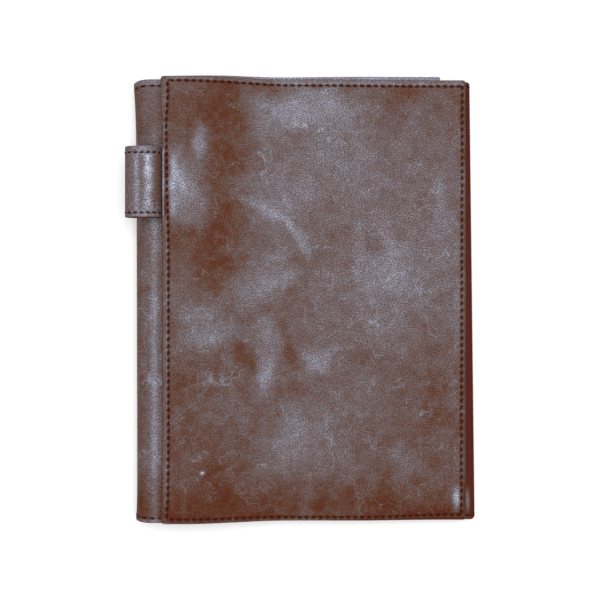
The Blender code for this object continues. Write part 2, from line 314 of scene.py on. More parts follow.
def slab(rows, columns, surface, inner_rows=None, inner_columns=None):
    """A closed sheet between its outer and inner faces.

    surface(row, column, outer) returns points, places, tone and edge for grids of values.
    """
    inner_rows = rows if inner_rows is None else inner_rows
    inner_columns = columns if inner_columns is None else inner_columns
    shape = Shape()
    outer = shape.add(*surface(*np.meshgrid(rows, columns, indexing="ij"), True))
    inner = shape.add(*surface(*np.meshgrid(inner_rows, inner_columns, indexing="ij"), False))
    shape.quads(outer)
    shape.quads(inner[::-1])
    for end in (0, -1):
        shape.zip_rows(outer[end], columns, inner[end], inner_columns)
        shape.zip_rows(outer[:, end], rows, inner[:, end], inner_rows)
    return shape


def sparse(lines, step):
    """Keeps an edge's first and last lines and thins out what lies between them."""
    lines = list(lines)
    kept = lines[:5]
    for line in lines[5:-5]:
        if line - kept[-1] >= step:
            kept.append(line)
    return np.array(kept + lines[-5:])


def stack(u, y, z):
    return np.stack(np.broadcast_arrays(u, y, z), -1).astype(float)


# Stitches

STITCH_SECTIONS = 9
STITCH_SIDES = 8


def add_stitch(shape, spot, ahead, side, up, lean, length, width, seed):
    """One stitch: a short two-ply strand that rises out of one hole and sinks into the next.

    It leans by this angle out of the row's line, from ahead towards side.
    """
    along = ahead * math.cos(lean) + side * math.sin(lean)
    across = side * math.cos(lean) - ahead * math.sin(lean)
    t = np.linspace(-1, 1, STITCH_SECTIONS)[:, None]
    turn = np.linspace(0, 2 * math.pi, STITCH_SIDES, endpoint=False)[None, :]
    lift = 0.30 * width * (1 - t ** 2) - 0.75 * width * np.abs(t) ** 5
    radius = width / 2 * (1 - 0.22 * t ** 4) * (1 + 0.10 * np.cos(2 * (turn - 2.2 * t - seed)))
    out = radius * np.cos(turn)
    rise = lift + 0.82 * radius * np.sin(turn)
    points = spot + t[..., None] * length / 2 * along
    points = points + out[..., None] * across + rise[..., None] * up
    places = stack(t * length / 2 + 7.1 * seed, turn * width / 2, 50.0 + seed)
    numbers = shape.add(points, places, 0.0, 0.0)
    shape.quads(np.concatenate([numbers, numbers[:, :1]], axis=1))
    shape.faces.append(numbers[0].tolist())
    shape.faces.append(numbers[-1, ::-1].tolist())


def stitch_around(shape, path, at, step, outward, lean, length, width, seed, sink=0.0):
    """A stitch of a row that runs around a piece as path(at); outward is 1 or -1."""
    ahead = unit(path(at + step) - path(at - step))
    up = outward * np.cross(ahead, [0.0, 1.0, 0.0])
    side = np.cross(up, ahead)
    add_stitch(shape, path(at) - up * sink, ahead, side, up, lean, length, width, seed)


def stitch_row(shape, path, count, slant, seed):
    """Stitches evenly along path(t), t from 0 to 1, leaning by about slant out of the row's line."""
    random = np.random.default_rng(seed)
    for k in range(count):
        t = (k + 0.5) / count
        spot, normal = path(t)
        ahead = unit(path(t + 0.2 / count)[0] - path(t - 0.2 / count)[0])
        side = unit(np.cross(normal, ahead))
        lean = slant + random.normal(0, 0.05)
        spot = spot + side * random.normal(0, 0.04)
        length = STITCH_LENGTH * random.uniform(0.94, 1.05)
        twist = k + random.uniform(0, 3)
        add_stitch(shape, spot, ahead, side, normal, lean, length, THREAD, twist)


# The front panel's surface

def tail_bump(u, y):
    past_tail = (u - LOOP_TAIL - BUMP_MARGIN) / BUMP_RAMP_U
    past_side = (np.abs(y - LOOP_Y) - LOOP_HALF - BUMP_MARGIN) / BUMP_RAMP_Y
    return TAIL_ROOM * (1 - smooth(past_tail)) * (1 - smooth(past_side))


def drape(u):
    main = DRAPE_SHARE * smooth((u - DRAPE_START) / DRAPE_LENGTH)
    edge = (1 - DRAPE_SHARE) * smooth((u - EDGE_DRAPE_START) / EDGE_DRAPE_LENGTH)
    return LEFT_TOP - (LEFT_TOP - RIGHT_TOP) * (main + edge)


def undulation(u, y):
    """The slight unevenness of a hide that has been handled."""
    wide = soft_noise(u + 20, y + 150, 24.0, 3) * 0.11
    close = soft_noise(u + 60, y + 190, 9.0, 4) * 0.035
    return wide + close


def panel_face(u, y):
    return drape(u) + tail_bump(u, y) + undulation(u, y)


def lining_face(u):
    """Outer face of the front lining, which dips under the spine leather's tab."""
    tab_room = (LEATHER + GAP) * (1 - smooth((u - TAB_REACH) / TAB_RAMP))
    return drape(u) - LEATHER - GAP - tab_room


SHIFT_REACH = 14.0
PANEL_LEAN = math.radians(20)
# Distance of each stitched row from its edge, by given knots along the edge
INSETS = {
    "left": ((-110, 2.7), (-60, 3.0), (30, 3.0), (62, 2.5), (85, 2.0), (103, 3.3)),
    "right": ((-110, 2.35), (0, 2.1), (110, 1.85)),
    "top": ((0, 2.2), (25, 2.4), (70, 3.1), (105, 3.3), (150, 3.1)),
    "bottom": ((0, 2.3), (35, 2.1), (70, 1.7), (105, 1.75), (150, 2.7)),
}


def row_line(side, at):
    """u of the left or right row at this y, or y of the top or bottom row at this u."""
    inset = follow(INSETS[side], at)
    if side in ("left", "bottom"):
        return inset - (HALF_HEIGHT if side == "bottom" else 0.0)
    return (HALF_HEIGHT if side == "top" else PANEL_WIDTH) - inset


def left_shift(u, y):
    """How far the panel's left part is drawn out, because its edge flares a little at both ends."""
    flare = -0.95 * smooth((y - 78) / 30) - 0.75 * smooth((-y - 96) / 13)
    return flare * np.clip(1 - u / SHIFT_REACH, 0.0, 1.0)


def corner_spot(side_u, side_y):
    """Where two rows of the panel's stitching meet."""
    u = row_line("left" if side_u < 0 else "right", side_y * (HALF_HEIGHT - 2.5))
    return float(u), float(row_line("bottom" if side_y < 0 else "top", u))


PANEL_CORNERS = {(a, b): corner_spot(a, b) for a in (-1, 1) for b in (-1, 1)}


def row_count(length):
    return max(1, round(length / STITCH_PITCH))


LEFT_COUNT = row_count(PANEL_CORNERS[-1, 1][1] - PANEL_CORNERS[-1, -1][1])
TOP_COUNT = row_count(PANEL_CORNERS[1, 1][0] - PANEL_CORNERS[-1, 1][0])


def furrow(offset, stitch, inside=1.0):
    """Depth of a stitched row's furrow, deepest at each stitch, with the hide puffed up between."""
    depth = GROOVE_DEPTH * bell(offset, GROOVE_WIDTH) * (0.45 + 0.75 * beat(stitch))
    puff = 0.10 * bell(offset, 1.3) * (1 - beat(stitch))
    return (depth - puff) * inside


def end_rows(top, bottom, stitch, inside=1.0):
    """Depth, pale lip as painted sheen on the raised margin, and painted shade in the furrows, of a
    head row and a tail row at these offsets from them.
    """
    depth = furrow(top, stitch, inside) + furrow(bottom, stitch, inside)
    lip = (smooth((top - 0.3) / 0.5) + smooth((-bottom - 0.3) / 0.5)) * inside
    furrow_shade = (bell(top, 0.5) + bell(bottom, 0.5)) * beat(stitch) * inside
    return depth, lip, furrow_shade


def panel_rows(u, y):
    """For each of the four rows: offset from it, stitch along it and how much it applies."""
    left_u, top_y = PANEL_CORNERS[-1, 1]
    right_u = PANEL_CORNERS[1, 1][0]
    low_y = PANEL_CORNERS[-1, -1][1]
    upright = (y - low_y) / (top_y - low_y)
    level = (u - left_u) / (right_u - left_u)
    beside = smooth((upright + 0.004) / 0.004) * smooth((1.004 - upright) / 0.004)
    above = smooth((level + 0.006) / 0.006) * smooth((1.006 - level) / 0.006)
    return (
        (u - row_line("left", y), upright * LEFT_COUNT, beside),
        (u - row_line("right", y), upright * LEFT_COUNT, beside),
        (y - row_line("top", u), level * TOP_COUNT, above),
        (y - row_line("bottom", u), level * TOP_COUNT, above),
    )


def panel_furrow(u, y):
    return sum(furrow(*row) for row in panel_rows(u, y))


# Wax bloom and painted sheen on the front panel, with some darker patches, as soft patches: u, y,
# half width, half height, tilt in degrees and amount
BLOOM_AND_SHEEN_PATCHES = (
    (70, 96, 25, 9, 0, 0.62), (56, 88, 9, 9, 0, 0.15), (92, 88, 12, 12, 0, 0.08),
    (80, 74, 18, 18, -20, 0.20), (47, 77, 4, 9, 10, 0.30), (58, 48, 15, 19, 10, 0.28),
    (106, 70, 8, 12, -15, 0.10), (72, 50, 34, 34, 0, 0.14), (112, 46, 34, 42, 0, 0.20),
    (122, 8, 17, 21, -15, 0.30), (108, 22, 14, 14, 0, 0.22), (141, 50, 7, 16, 0, 0.22),
    (145.5, -10, 2.2, 40, 0, 0.14), (20, 75, 5, 9, 12, 0.72), (13, 57, 9, 12, 20, 0.46),
    (7, 60, 3.4, 15, 0, 0.62), (18, 46, 7, 5, -30, 0.14), (44, 50, 9, 2.2, -32, 0.30),
    (60, 40, 12, 2.4, -42, 0.42), (69, 26, 9, 2.2, -62, 0.40), (57, 9, 9, 5, 25, 0.42),
    (43, 4, 12, 6, 0, 0.30), (22, -12, 15, 13, -30, 0.52), (50, -22, 8, 15, 10, 0.40),
    (49, -38, 5, 7, 0, 0.50), (75, -31, 8, 6, -25, 0.48), (84, -26, 12, 2.0, 15, 0.20),
    (92, -8, 26, 22, 0, 0.22), (108, -24, 22, 14, 0, 0.12), (104, -46, 20, 12, 20, 0.06),
    (62, -66, 12, 13, 0, 0.22), (70, -78, 26, 16, 0, 0.24), (84, -54, 26, 16, 0, 0.16),
    (118, -80, 8, 8, 0, 0.24), (28, -48, 12, 14, 0, 0.16), (11, 43, 7, 6, 0, 0.20),
    (40, 8, 9, 12, 0, 0.16), (52, 84, 5, 6, 0, 0.12), (79, 75, 6, 6, 0, 0.12),
    (54, 22, 6, 7, 0, 0.20), (7, 6, 5, 10, 0, 0.20), (16, 39, 5, 5, 0, 0.20),
    (30, -84, 16, 9, 0, -0.18), (25, -97, 8, 6, 0, -0.16), (75, -106, 30, 5, 0, 0.22),
    (130, -97, 16, 6, 0, 0.18), (124, -56, 8, 12, 0, 0.14), (124, 92, 8, 28, 0, 0.14),
    (141, 0, 7, 62, 0, 0.12), (48, 14, 8, 7, 0, 0.12), (136, 104, 10, 4, 0, 0.12),
    (25, 32, 13, 46, 0, -0.26), (30, 90, 14, 22, 0, -0.20), (14, 97, 10, 10, 0, -0.06),
    (124, 101, 10, 9, 0, -0.20), (40, -26, 5, 8, 0, -0.28), (12, -52, 20, 22, 0, -0.10),
    (136, -52, 16, 20, 0, -0.16), (86, 33, 9, 4, 0, -0.16), (105, 28, 5, 7, 0, -0.20),
    (62, -26, 4, 8, 0, -0.22), (99, -28, 11, 6, 0, -0.26),
)
# Small painted highlights: u, y, half width, half height and amount
PANEL_GLINTS = (
    (145.8, -99.0, 1.9, 7.5, 1.25),
    (19.5, -85.0, 0.9, 1.1, 1.90),
    (17.5, -88.0, 0.8, 1.6, 0.35),
)
BARE_TONE = 0.13
LOW_DARKENING = 0.34
# Tone of the lip outside the left, right, top and bottom row: painted light on the raised margin,
# lighter on the top and left, darker on the right and bottom
LIP_PALENESS = (0.18, -0.10, 0.40, -0.25)


def panel_bloom_and_sheen(u, y):
    at_u = u + mottle(u, y, 11, (3.0, 11.0), (1.2, 4.0))
    at_y = y + mottle(u, y, 13, (3.0, 11.0), (1.2, 4.0))
    tone = np.full(np.shape(at_u), BARE_TONE)
    for centre_u, centre_y, wide, tall, tilt, amount in BLOOM_AND_SHEEN_PATCHES:
        turn = math.radians(tilt)
        across, up = at_u - centre_u, at_y - centre_y
        a = (across * math.cos(turn) + up * math.sin(turn)) / wide
        b = (up * math.cos(turn) - across * math.sin(turn)) / tall
        tone = tone + amount * np.exp(-0.9 * (a * a + b * b) ** 1.25)
    tone = tone + mottle(u, y, 15, (0.10, 6.5), (0.11, 2.6))
    for centre_u, centre_y, wide, tall, amount in PANEL_GLINTS:
        tone = tone + amount * bell(u - centre_u, wide) * bell(y - centre_y, tall) ** 2
    return tone - LOW_DARKENING * smooth((-y - 84) / 24)


def panel_tone(u, y):
    """Bloom and painted sheen, a paler lip outside the rows as painted light on the raised margin,
    painted highlights on the beads of hide between the stitches, and painted shade in the furrows.
    """
    tone = panel_bloom_and_sheen(u, y)
    sides = zip(panel_rows(u, y), (-1, 1, 1, -1), LIP_PALENESS)
    for (offset, stitch, inside), outward, pale in sides:
        gap = 1 - beat(stitch)
        lip = smooth((offset * outward - 0.35) / 0.5) * inside
        bead_highlight = bell(offset * outward - 0.55, 0.55) * gap ** 2 * inside
        furrow_shade = bell(offset, 0.62) * (1 - 0.8 * gap) * inside
        tone = tone + pale * lip + 0.35 * bead_highlight - 0.85 * furrow_shade
    # Beside the pen loop: a painted highlight on the lifted left edge, a darker band just inside it
    # and a painted sheen on the bump over the loop's tail
    lifted_edge_light = 1.00 * bell(u - 0.7, 0.36) - 0.62 * bell(u - 1.8, 0.7) + 0.40 * bell(u - 5.2, 1.6)
    # A painted highlight along the rounding of the bottom edge, fading out to the right
    cut = 0.60 * bell(y + HALF_HEIGHT - 0.5, 0.6) * (1 - smooth((u - 60) / 50))
    return tone + lifted_edge_light * beside_loop(y) + cut


def beside_loop(y):
    """1 where the panel's left edge runs past the pen loop, which lifts it so that it gets a painted
    highlight.
    """
    return smooth((y - LOOP_Y + LOOP_HALF) / 2.0) * smooth((LOOP_HALF + LOOP_Y - y) / 2.0)


def rounded_sheet(u, y, low, high, corner):
    """Moves grid points near a sheet's four corners onto quarter discs; adds the edge distance."""
    across = np.minimum(u - low[0], high[0] - u)
    up = np.minimum(y - low[1], high[1] - y)
    a = np.clip((corner - across) / corner, 0.0, 1.0)
    b = np.clip((corner - up) / corner, 0.0, 1.0)
    inside = (a > 0) & (b > 0)
    reach = np.sqrt(np.clip(a * a + b * b - a * a * b * b, 0.0, 1.0))
    distance = np.where(inside, corner * (1 - reach), np.minimum(across, up))
    across = np.where(inside, corner * (1 - a * np.sqrt(1 - b * b / 2)), across)
    up = np.where(inside, corner * (1 - b * np.sqrt(1 - a * a / 2)), up)
    out_u = np.where(u < (low[0] + high[0]) / 2, low[0] + across, high[0] - across)
    out_y = np.where(y < (low[1] + high[1]) / 2, low[1] + up, high[1] - up)
    return out_u, out_y, distance


def panel_surface(u, y, outer):
    low, high = (0.0, -HALF_HEIGHT), (PANEL_WIDTH, HALF_HEIGHT)
    at_u, at_y, distance = rounded_sheet(u, y, low, high, CORNER)
    world_u = at_u + left_shift(at_u, at_y)
    drop = edge_drop(distance)
    edge = burnish(distance)
    if outer:
        # Less burnish on the left edge beside the pen loop, so that its painted highlight shows
        edge = edge * (1 - 0.7 * beside_loop(at_y) * (at_u < 3))
        # Less burnish along the bottom edge, under its painted highlight
        edge = edge * (1 - 0.7 * (at_y < 1.5 - HALF_HEIGHT) * (at_u < 90))
        edge = np.maximum(edge, 0.30 * burnish(distance, 1.3, 0.9))
        lip = 0.06 * bell(distance - 1.3, 0.8)
        z = panel_face(at_u, at_y) - panel_furrow(at_u, at_y) - drop + lip
        return stack(world_u, at_y, z), stack(at_u, at_y, 0.0), panel_tone(at_u, at_y), edge
    z = panel_face(at_u, at_y) - LEATHER + drop
    return stack(world_u, at_y, z), stack(at_u, at_y, 400.0), 0.1, edge


def build_front_panel(leather):
    rows = edged_lines(0.0, PANEL_WIDTH, 0.8)
    columns = edged_lines(-HALF_HEIGHT, HALF_HEIGHT, 0.8)
    shape = slab(rows, columns, panel_surface, sparse(rows, 3.0), sparse(columns, 4.0))
    add_piece("front_panel_leather", shape, leather, ["front_panel"], "front_cover")


def panel_path(side, inner):
    """The row of stitches along one side of the panel, as a function of the share along it."""
    upright = side in ("left", "right")
    low = PANEL_CORNERS[-1, -1][1] if upright else PANEL_CORNERS[-1, 1][0]
    high = PANEL_CORNERS[-1, 1][1] if upright else PANEL_CORNERS[1, 1][0]

    def path(t):
        at = low + (high - low) * t
        u, y = (row_line(side, at), at) if upright else (at, row_line(side, at))
        rise = float(panel_face(u + 0.5, y) - panel_face(u - 0.5, y))
        normal = unit(np.array([-rise, 0.0, 1.0]))
        if inner:
            return stack(u, y, lining_face(u) - LINING + INNER_SINK), -normal
        return stack(u + left_shift(u, y), y, panel_face(u, y) - OUTER_SINK), normal
    return path


def build_panel_stitches(thread):
    shape = Shape()
    for seed, side in enumerate(("left", "right", "top", "bottom")):
        count = LEFT_COUNT if side in ("left", "right") else TOP_COUNT
        stitch_row(shape, panel_path(side, False), count, -PANEL_LEAN, 20 + seed)
        stitch_row(shape, panel_path(side, True), count, PANEL_LEAN, 30 + seed)
    add_piece("front_panel_stitches", shape, thread, ["front_thread"], "front_cover")


# The rolled spine

ROLL_TOP_Y = SPINE_HALF - 0.3
ROLL_BOTTOM_Y = -SPINE_HALF - 0.9
ROLL_TOP_ROW = 3.2
ROLL_BOTTOM_ROW = 2.4
ROLL_HALF = (ROLL_TOP_Y - ROLL_BOTTOM_Y) / 2
ROLL_LINING_TRIM = 1.2
SEAM_ANGLES = (0, 45, 90, 135, 180)
ROLL_STITCH_TURN = 28.0
ROLL_STITCH_LENGTH = 2.9
ROLL_STITCH_SINK = 0.22
ROLL_NORMAL_STEP = 0.02
ROLL_AHEAD_STEP = 0.01 * math.pi
TAB_STITCH_U = -1.5
TAB_STITCH_PITCH = 3.9
END_LEAN = math.radians(-12)


def roll_reach(y):
    """How far the roll bulges out to the left: pinched in the middle and flared at its ends."""
    even = 9.05 + 0.25 * y / HALF_HEIGHT
    head = 1.6 * np.exp(-np.clip(SPINE_HALF - y, 0, None) / 14.0)
    tail = 0.7 * np.exp(-np.clip(SPINE_HALF + y, 0, None) / 6.0)
    return even + head + tail


def roll_y(share, angle):
    """Height on the cover for a share from -1 to 1; the roll's ends are cut slightly round."""
    bow = np.sin(angle) ** 4
    top = ROLL_TOP_Y - 1.1 * bow
    bottom = ROLL_BOTTOM_Y + 0.5 * bow
    return (top + bottom) / 2 + (top - bottom) / 2 * share


def loop_dent(angle, y):
    """Share of the bulge that the pen loop presses flat on the roll's upper left, out of sight."""
    past = LOOP_HALF + 1.0 - np.abs(y - LOOP_Y)
    return 0.85 * smooth(1 + past / 3.5) * smooth((angle - math.radians(94)) / math.radians(20))


def roll_point(angle, y, depth):
    bulge = (roll_reach(y) - RADIUS) * (1 - loop_dent(angle, y))
    u = CREST_U - (RADIUS + bulge - depth) * np.sin(angle)
    z = RADIUS - (RADIUS - depth) * np.cos(angle)
    return stack(u, y, z)


def roll_share_lines(step, border_step=0.35, margin=0.0):
    """Values of share from end to end, close together near both ends."""
    half = ROLL_HALF - margin
    return edged_lines(-half, half, step, 5.0, border_step) / half


def roll_looks(y, angle, u, stitch):
    """Furrow depth and tone of the spine's leather at this place on its head and tail rows: its
    painted highlights, pale lips as painted sheen and painted shade in the furrows.
    """
    top = y - roll_y(1.0, angle) + ROLL_TOP_ROW
    bottom = y - roll_y(-1.0, angle) - ROLL_BOTTOM_ROW
    depth, lip, furrow_shade = end_rows(top, bottom, stitch)
    return depth, spine_tone(u, y) + 0.35 * lip - 0.7 * furrow_shade


def spine_tone(u, y):
    """Painted highlight along the roll's crest and fainter painted highlights near the panel and at
    its left rim, over brown sides; darker towards the bottom.
    """
    crest = 0.68 * bell(u + 4.0, 2.2) * (1 - 0.55 * smooth((y - 72) / 22))
    tone = 0.27 * bell(u + 8.6, 3.4) + crest * (0.9 + 0.3 * soft_noise(u, y, 14.0, 31))
    tone = tone + 0.14 * bell(u + 0.8, 1.2) + 0.05 * bell(u + 13.0, 1.6)
    tone = tone + mottle(u, y, 32, (0.09, 5.0), (0.08, 2.4))
    return tone - 0.30 * smooth((-y - 78) / 22)


def roll_surface(inset, thickness, plain):
    """The roll's outer leather, or a lining inside it, as a surface for slab()."""
    trim = 1 - ROLL_LINING_TRIM / ROLL_HALF if plain else 1.0

    def surface(angle, share, outer):
        y = roll_y(share * trim, angle)
        distance = (1 - np.abs(share)) * ROLL_HALF
        drop = edge_drop(distance, min(EDGE_RADIUS, thickness * 0.4))
        depth = inset + drop if outer else inset + thickness - drop
        tone = 0.0
        if outer and not plain:
            stitch = (math.pi - angle) / math.radians(ROLL_STITCH_TURN) + 0.5
            dip, tone = roll_looks(y, angle, CREST_U - roll_reach(y) * np.sin(angle), stitch)
            depth = depth + dip
        place = stack(RADIUS * angle, y, 200.0 * plain + (0.0 if outer else 9.0))
        return roll_point(angle, y, depth), place, tone, burnish(distance)
    return surface


def bend_stretch(piece, index, depth):
    """Bakes a stretch of the roll's transform into its mesh; the ends where its two bodies meet are
    worked out but not used.
    """
    turns = (math.radians(angle) for angle in SEAM_ANGLES[index:index + 2])
    reach = RADIUS - depth
    points = (stack(CREST_U - reach * math.sin(t), 0.0, RADIUS - reach * math.cos(t)) for t in turns)
    start, end = (tuple((point + ORIGIN) * MM) for point in points)
    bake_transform(piece)


def build_roll(leather, lining):
    layers = (
        ("leather", leather, 0.0, LEATHER, 19, roll_share_lines(1.6)),
        ("lining", lining, LINING_INSET, LINING, 11, roll_share_lines(6.0, 1.2, ROLL_LINING_TRIM)),
    )
    links = ("lower", "middle", "upper")
    for index, name in enumerate(("first", "second", "third", "last")):
        low, high = (math.radians(angle) for angle in SEAM_ANGLES[index:index + 2])
        for word, looks, inset, thickness, count, shares in layers:
            angles = np.linspace(low, high, count)
            shape = slab(angles, shares, roll_surface(inset, thickness, inset > 0))
            nodes = [f"spine_{word}_{link}" for link in links[index:index + 1]]
            piece = add_piece(f"roll_{word}_{name}", shape, looks, nodes)
            bend_stretch(piece, index, inset + thickness)


def roll_row_y(end, angle):
    return float(roll_y(end, angle)) + (-ROLL_TOP_ROW if end > 0 else ROLL_BOTTOM_ROW)


def roll_stitch_path(end):
    """A row around the roll at its head or tail, and its normal, by the angle from its bottom."""
    def path(angle):
        y = roll_row_y(end, angle)
        turns = (-ROLL_NORMAL_STEP, 0.0, ROLL_NORMAL_STEP)
        before, point, after = (roll_point(angle + turn, y, ROLL_STITCH_SINK) for turn in turns)
        return point, unit(np.cross(after - before, [0.0, 1.0, 0.0]))
    return path


def build_roll_stitches(thread):
    nodes = ("spine_thread_lower", "spine_thread_middle", "spine_thread_upper", "tab_thread")
    sizes = (ROLL_STITCH_LENGTH, THREAD)
    for end, word in ENDS:
        path = roll_stitch_path(end)
        shapes = [Shape() for _ in nodes]
        for number, degrees in enumerate(np.arange(180.0, 0.0, -ROLL_STITCH_TURN)):
            shape, angle = shapes[min(int(degrees // 45), 3)], math.radians(degrees)
            point, up = path(angle)
            ahead = unit(path(angle + ROLL_AHEAD_STEP)[0] - path(angle - ROLL_AHEAD_STEP)[0])
            add_stitch(shape, point, ahead, np.cross(up, ahead), up, END_LEAN, *sizes, number)
        spot = stack(TAB_STITCH_U, roll_row_y(end, math.pi), ROLL_TOP - ROLL_STITCH_SINK)
        add_stitch(shapes[3], spot, *np.eye(3), 0.0, *sizes, 9)
        for index, (shape, node) in enumerate(zip(shapes, nodes)):
            name = f"roll_stitches_{node.split('_')[-1]}_{word}"
            piece = add_piece(name, shape, thread, [f"{node}_{word}"])
            bend_stretch(piece, index, LEATHER)


def tab_surface(u, share, outer):
    """The spine leather's flat end, which is sewn under the front panel's left edge."""
    y = roll_y(share, math.pi)
    far = np.where(u > CREST_U + 2.0, TAB_REACH - u, 9.0)
    distance = np.minimum((1 - np.abs(share)) * ROLL_HALF, far)
    drop = edge_drop(distance)
    along = RADIUS * math.pi + u - CREST_U
    if not outer:
        return stack(u, y, ROLL_TOP - LEATHER + drop), stack(along, y, 9.0), 0.0, burnish(distance)
    depth, tone = roll_looks(y, math.pi, u, (CREST_U - u) / TAB_STITCH_PITCH + 0.5)
    return stack(u, y, ROLL_TOP - drop - depth), stack(along, y, 0.0), tone, burnish(distance)


def build_tab(leather):
    rows = spread(CREST_U, TAB_REACH - 0.6, 0.6)
    rows += [TAB_REACH - d for d in (0.3, 0.12, 0.03, 0.0)]
    shape = slab(np.array(rows), roll_share_lines(1.6), tab_surface)
    add_piece("spine_tab_leather", shape, leather, ["spine_tab"], "front_cover")


# The back cover, whose leather folds in at the fore edge and runs back as the sleeve

BACK_ROW_INSET = 2.1
BACK_STITCH_SINK = 0.26
BACK_THREAD = 0.62
BACK_LENGTH = FOLD_MIDDLE - CREST_U
FOLD_LENGTH = math.pi * FOLD_RADIUS
SLEEVE_LENGTH = FOLD_MIDDLE - SLEEVE_END
SEWN_FROM = (SLEEVE_SEAM - CREST_U) / BACK_LENGTH


def fold_middle(y):
    return FOLD_MIDDLE - FOLD_SLANT * y / HALF_HEIGHT


def back_ends(stage):
    """Top and bottom ends of the back leather: in line with the roll at 0 and longer from there on."""
    grown = smooth(stage / 0.12)
    bow = np.where((stage > 1) & (stage < 2), np.sin(math.pi * (stage - 1)) ** 2, 0.0)
    top = ROLL_TOP_Y + (BACK_TOP_Y - ROLL_TOP_Y) * grown - 0.4 * bow
    bottom = ROLL_BOTTOM_Y + (BACK_BOTTOM_Y - ROLL_BOTTOM_Y) * grown + 1.3 * bow
    return top, bottom


def back_point(stage, y, depth):
    """Stage 0 to 1 is the back, 1 to 2 the fold and 2 to 3 the sleeve."""
    middle = fold_middle(y)
    turn = math.pi * (np.clip(stage, 1, 2) - 1.5)
    flat_u = CREST_U + (middle - CREST_U) * np.clip(stage, 0, 1)
    fold_u = middle + (FOLD_RADIUS - depth) * np.cos(turn)
    fold_z = FOLD_RADIUS + (FOLD_RADIUS - depth) * np.sin(turn)
    sleeve_u = middle + (SLEEVE_END - middle) * (np.clip(stage, 2, 3) - 2)
    u = np.where(stage < 1, flat_u, np.where(stage > 2, sleeve_u, fold_u))
    z = np.where(stage < 1, depth, np.where(stage > 2, SLEEVE_HEIGHT - depth, fold_z))
    return stack(u, y, z)


def back_along(stage):
    """Distance along the hide from the roll's bottom, in mm."""
    back, fold, sleeve = (np.clip(stage - first, 0, 1) for first in (0, 1, 2))
    return BACK_LENGTH * back + FOLD_LENGTH * fold + SLEEVE_LENGTH * sleeve


def stage_at(along):
    """The stage at this distance along the hide."""
    fold_end = BACK_LENGTH + FOLD_LENGTH
    return float(np.interp(along, (0, BACK_LENGTH, fold_end, fold_end + SLEEVE_LENGTH), (0, 1, 2, 3)))


def back_tone(stage, y):
    """Bloom on the back; the fold darkened to deep red-brown as painted shade where it turns away from
    the light, and a painted highlight low on the fold.
    """
    along = back_along(stage)
    tone = 0.34 + mottle(along, y, 41, (0.24, 30.0), (0.14, 12.0), (0.11, 4.0))
    fold_shade = smooth((stage - 0.97) / 0.03) * (1 - smooth((stage - 2.022) / 0.035))
    upper = smooth((stage - 1.45) / 0.25)
    tone = tone * (1 - fold_shade) - (0.08 + 0.42 * upper) * fold_shade
    across = back_point(stage, y, 0.0)[..., 0] - PANEL_WIDTH
    glint = bell(across - 1.9, 1.0) * bell(y + 101, 7.0) * (stage > 1.5)
    return tone + 1.3 * glint


def back_surface(stage, share, outer):
    top_end, bottom_end = back_ends(stage)
    half = (top_end - bottom_end) / 2
    y = (top_end + bottom_end) / 2 + half * share
    distance = np.minimum((1 - np.abs(share)) * half, (3 - stage) * SLEEVE_LENGTH)
    drop = edge_drop(distance)
    edge = burnish(distance)
    along = back_along(stage)
    if not outer:
        return back_point(stage, y, LEATHER - drop), stack(along - 200, y, 9.0), 0.0, edge
    top = y - top_end + BACK_ROW_INSET
    bottom = y - bottom_end - BACK_ROW_INSET
    sewn = smooth((stage - SEWN_FROM) / 0.004)
    dip, lip, furrow_shade = end_rows(top, bottom, along / STITCH_PITCH, sewn)
    wave = 0.10 * soft_noise(along, y, 22.0, 44) * smooth(stage / 0.1) * (stage < 1)
    depth = np.maximum(drop + dip + np.maximum(wave, 0.0), 0.0)
    # Pale lips as painted sheen and painted shade in the furrows of the rows
    tone = back_tone(stage, y) + 0.25 * lip - 0.6 * furrow_shade
    return back_point(stage, y, depth), stack(-along, y, 0.0), tone, edge


def back_stage_lines():
    back = spread(0.0, 0.985, 0.012)
    fold = spread(0.985, 2.015, 0.042)[1:]
    sleeve = spread(2.015, 2.985, 0.02)[1:]
    end = [3 - d / SLEEVE_LENGTH for d in reversed(round_steps())]
    return np.array(back + fold + sleeve + end)


def build_back(leather):
    stages = back_stage_lines()
    half = (BACK_TOP_Y - BACK_BOTTOM_Y) / 2
    shares = edged_lines(-half, half, 2.2) / half
    shape = slab(stages, shares, back_surface)
    add_piece("back_cover_leather", shape, leather, ["back_leather"], "back_cover")


def back_stitch_path(end):
    def path(stage):
        row_end = back_ends(stage)[0 if end > 0 else 1]
        return back_point(stage, row_end - end * BACK_ROW_INSET, BACK_STITCH_SINK)
    return path


def build_back_stitches(thread):
    """Both rows go through back and sleeve, so they show outside, around the fold and inside."""
    first = math.ceil((back_along(SEWN_FROM) + 1.0) / STITCH_PITCH)
    last = math.ceil((back_along(3.0) - SLEEVE_HEM) / STITCH_PITCH - 0.5)
    for end, word in ENDS:
        shape = Shape()
        for number in range(first, last):
            row = (back_stitch_path(end), stage_at((number + 0.5) * STITCH_PITCH), 0.001, -1)
            stitch_around(shape, *row, END_LEAN, STITCH_LENGTH, BACK_THREAD, number)
        add_piece(f"back_stitches_{word}", shape, thread, [f"back_thread_{word}"], "back_cover")


# Linings and the loose leaf

LINING_RADIUS = LINING * 0.4
LINING_CORNER = 1.2
LINING_FINE_FROM = LINING_END - 3.0


